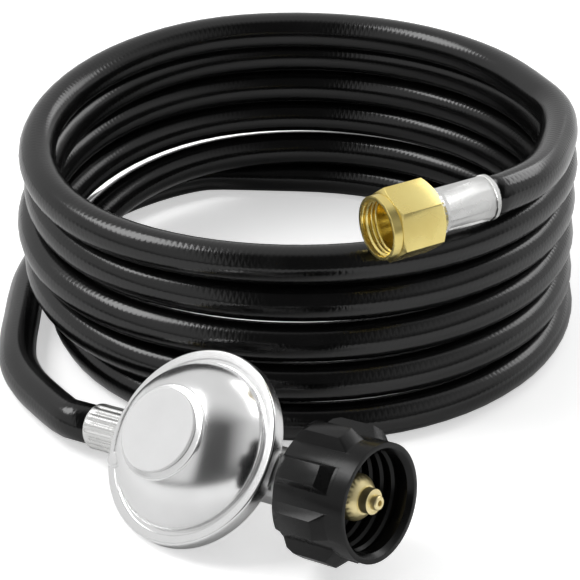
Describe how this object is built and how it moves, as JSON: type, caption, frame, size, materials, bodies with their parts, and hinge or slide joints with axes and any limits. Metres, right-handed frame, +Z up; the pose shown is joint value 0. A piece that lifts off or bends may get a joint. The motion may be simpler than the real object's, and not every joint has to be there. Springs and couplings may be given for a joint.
{
  "type": "gas regulator with hose",
  "caption": "Low-pressure gas regulator with a round diaphragm housing and a lugged hand nut, on a coiled rubber hose that ends in a brass swivel flare nut.",
  "frame": {"origin": "centre of the regulator head's bounding box at floor level (the head without the hose and its far end)", "axes": "+Z up from the floor; +X horizontal, on the side the hand nut's mouth opens to; the closing cap leans towards -Y and the hose coil lies on the +Y side"},
  "size_m": [0.2399, 0.2553, 0.093],
  "materials": {
    "body_metal": "cast and tumbled",
    "polished_metal": "polished",
    "cap": "flat matte",
    "plated_steel": "zinc plated",
    "spring_steel": "drawn wire",
    "brass": "machined",
    "ferrule_metal": "crimped and plated",
    "black_plastic": "moulded satin",
    "inner_plastic": "moulded",
    "seal_rubber": "smooth",
    "hose_rubber": "satin with a fine braid mark"
  },
  "bodies": {
    "regulator_and_hose": {"valve_body": "body_metal", "bonnet": "polished_metal", "closing_cap": "cap", "adjusting_screw": "inner_plastic", "control_spring": "spring_steel", "diaphragm": "seal_rubber", "lever_pin": "plated_steel", "orifice": "brass", "vent_plug": "polished_metal", "inlet_nipple": "brass", "thermal_bushing": "black_plastic", "check_spring": "spring_steel", "check_retainer": "brass", "outlet_barb": "brass", "outlet_ferrule": "ferrule_metal", "hose_lead": "hose_rubber", "hose_coil": "hose_rubber", "hose_tail": "hose_rubber", "flare_ferrule": "ferrule_metal", "flare_stem": "brass"},
    "hand_nut": {"hand_nut": "black_plastic"},
    "stem_and_plate": {"diaphragm_stem": "brass", "diaphragm_plate": "plated_steel"},
    "lever": {"valve_lever": "plated_steel"},
    "plunger": {"valve_plunger": "brass", "seat_disc": "seal_rubber"},
    "poppet": {"check_poppet": "inner_plastic"},
    "flare_nut": {"flare_nut": "brass"}
  },
  "joints": [
    {"name": "hand_nut_spin", "type": "hinge", "parent": "regulator_and_hose", "child": "hand_nut", "pos_m": [0.04364, 0.0045, 0.02677], "axis": [0.9877, 0, 0.1564], "continuous": true},
    {"name": "stem_slide", "type": "slide", "parent": "regulator_and_hose", "child": "stem_and_plate", "axis": [-0.1067, -0.7314, 0.6736], "range_m": [0, 0.0017], "stiffness_N_per_m": 400, "springref_m": -0.003, "deforming": ["control_spring", "diaphragm"]},
    {"name": "lever_turn", "type": "hinge", "parent": "regulator_and_hose", "child": "lever", "pos_m": [-0.00031, 0.00786, 0.01663], "axis": [-0.1144, 0.682, 0.7223], "range_deg": [0, 11.51]},
    {"name": "plunger_slide", "type": "slide", "parent": "regulator_and_hose", "child": "plunger", "axis": [0.9877, 0, 0.1564], "range_m": [0, 0.00093]},
    {"name": "poppet_slide", "type": "slide", "parent": "regulator_and_hose", "child": "poppet", "axis": [-0.9877, 0, -0.1564], "range_m": [0, 0.0025], "stiffness_N_per_m": 120, "springref_m": -0.002, "deforming": ["check_spring"]},
    {"name": "flare_nut_spin", "type": "hinge", "parent": "regulator_and_hose", "child": "flare_nut", "pos_m": [0.01135, 0.07582, 0.0805], "axis": [-0.342, -0.9397, 0], "continuous": true}
  ],
  "couplings": [
    {"joint": "lever_turn", "follows": "stem_slide", "rad_per_m": 117.65},
    {"joint": "plunger_slide", "follows": "stem_slide", "ratio": 0.54118}
  ]
}
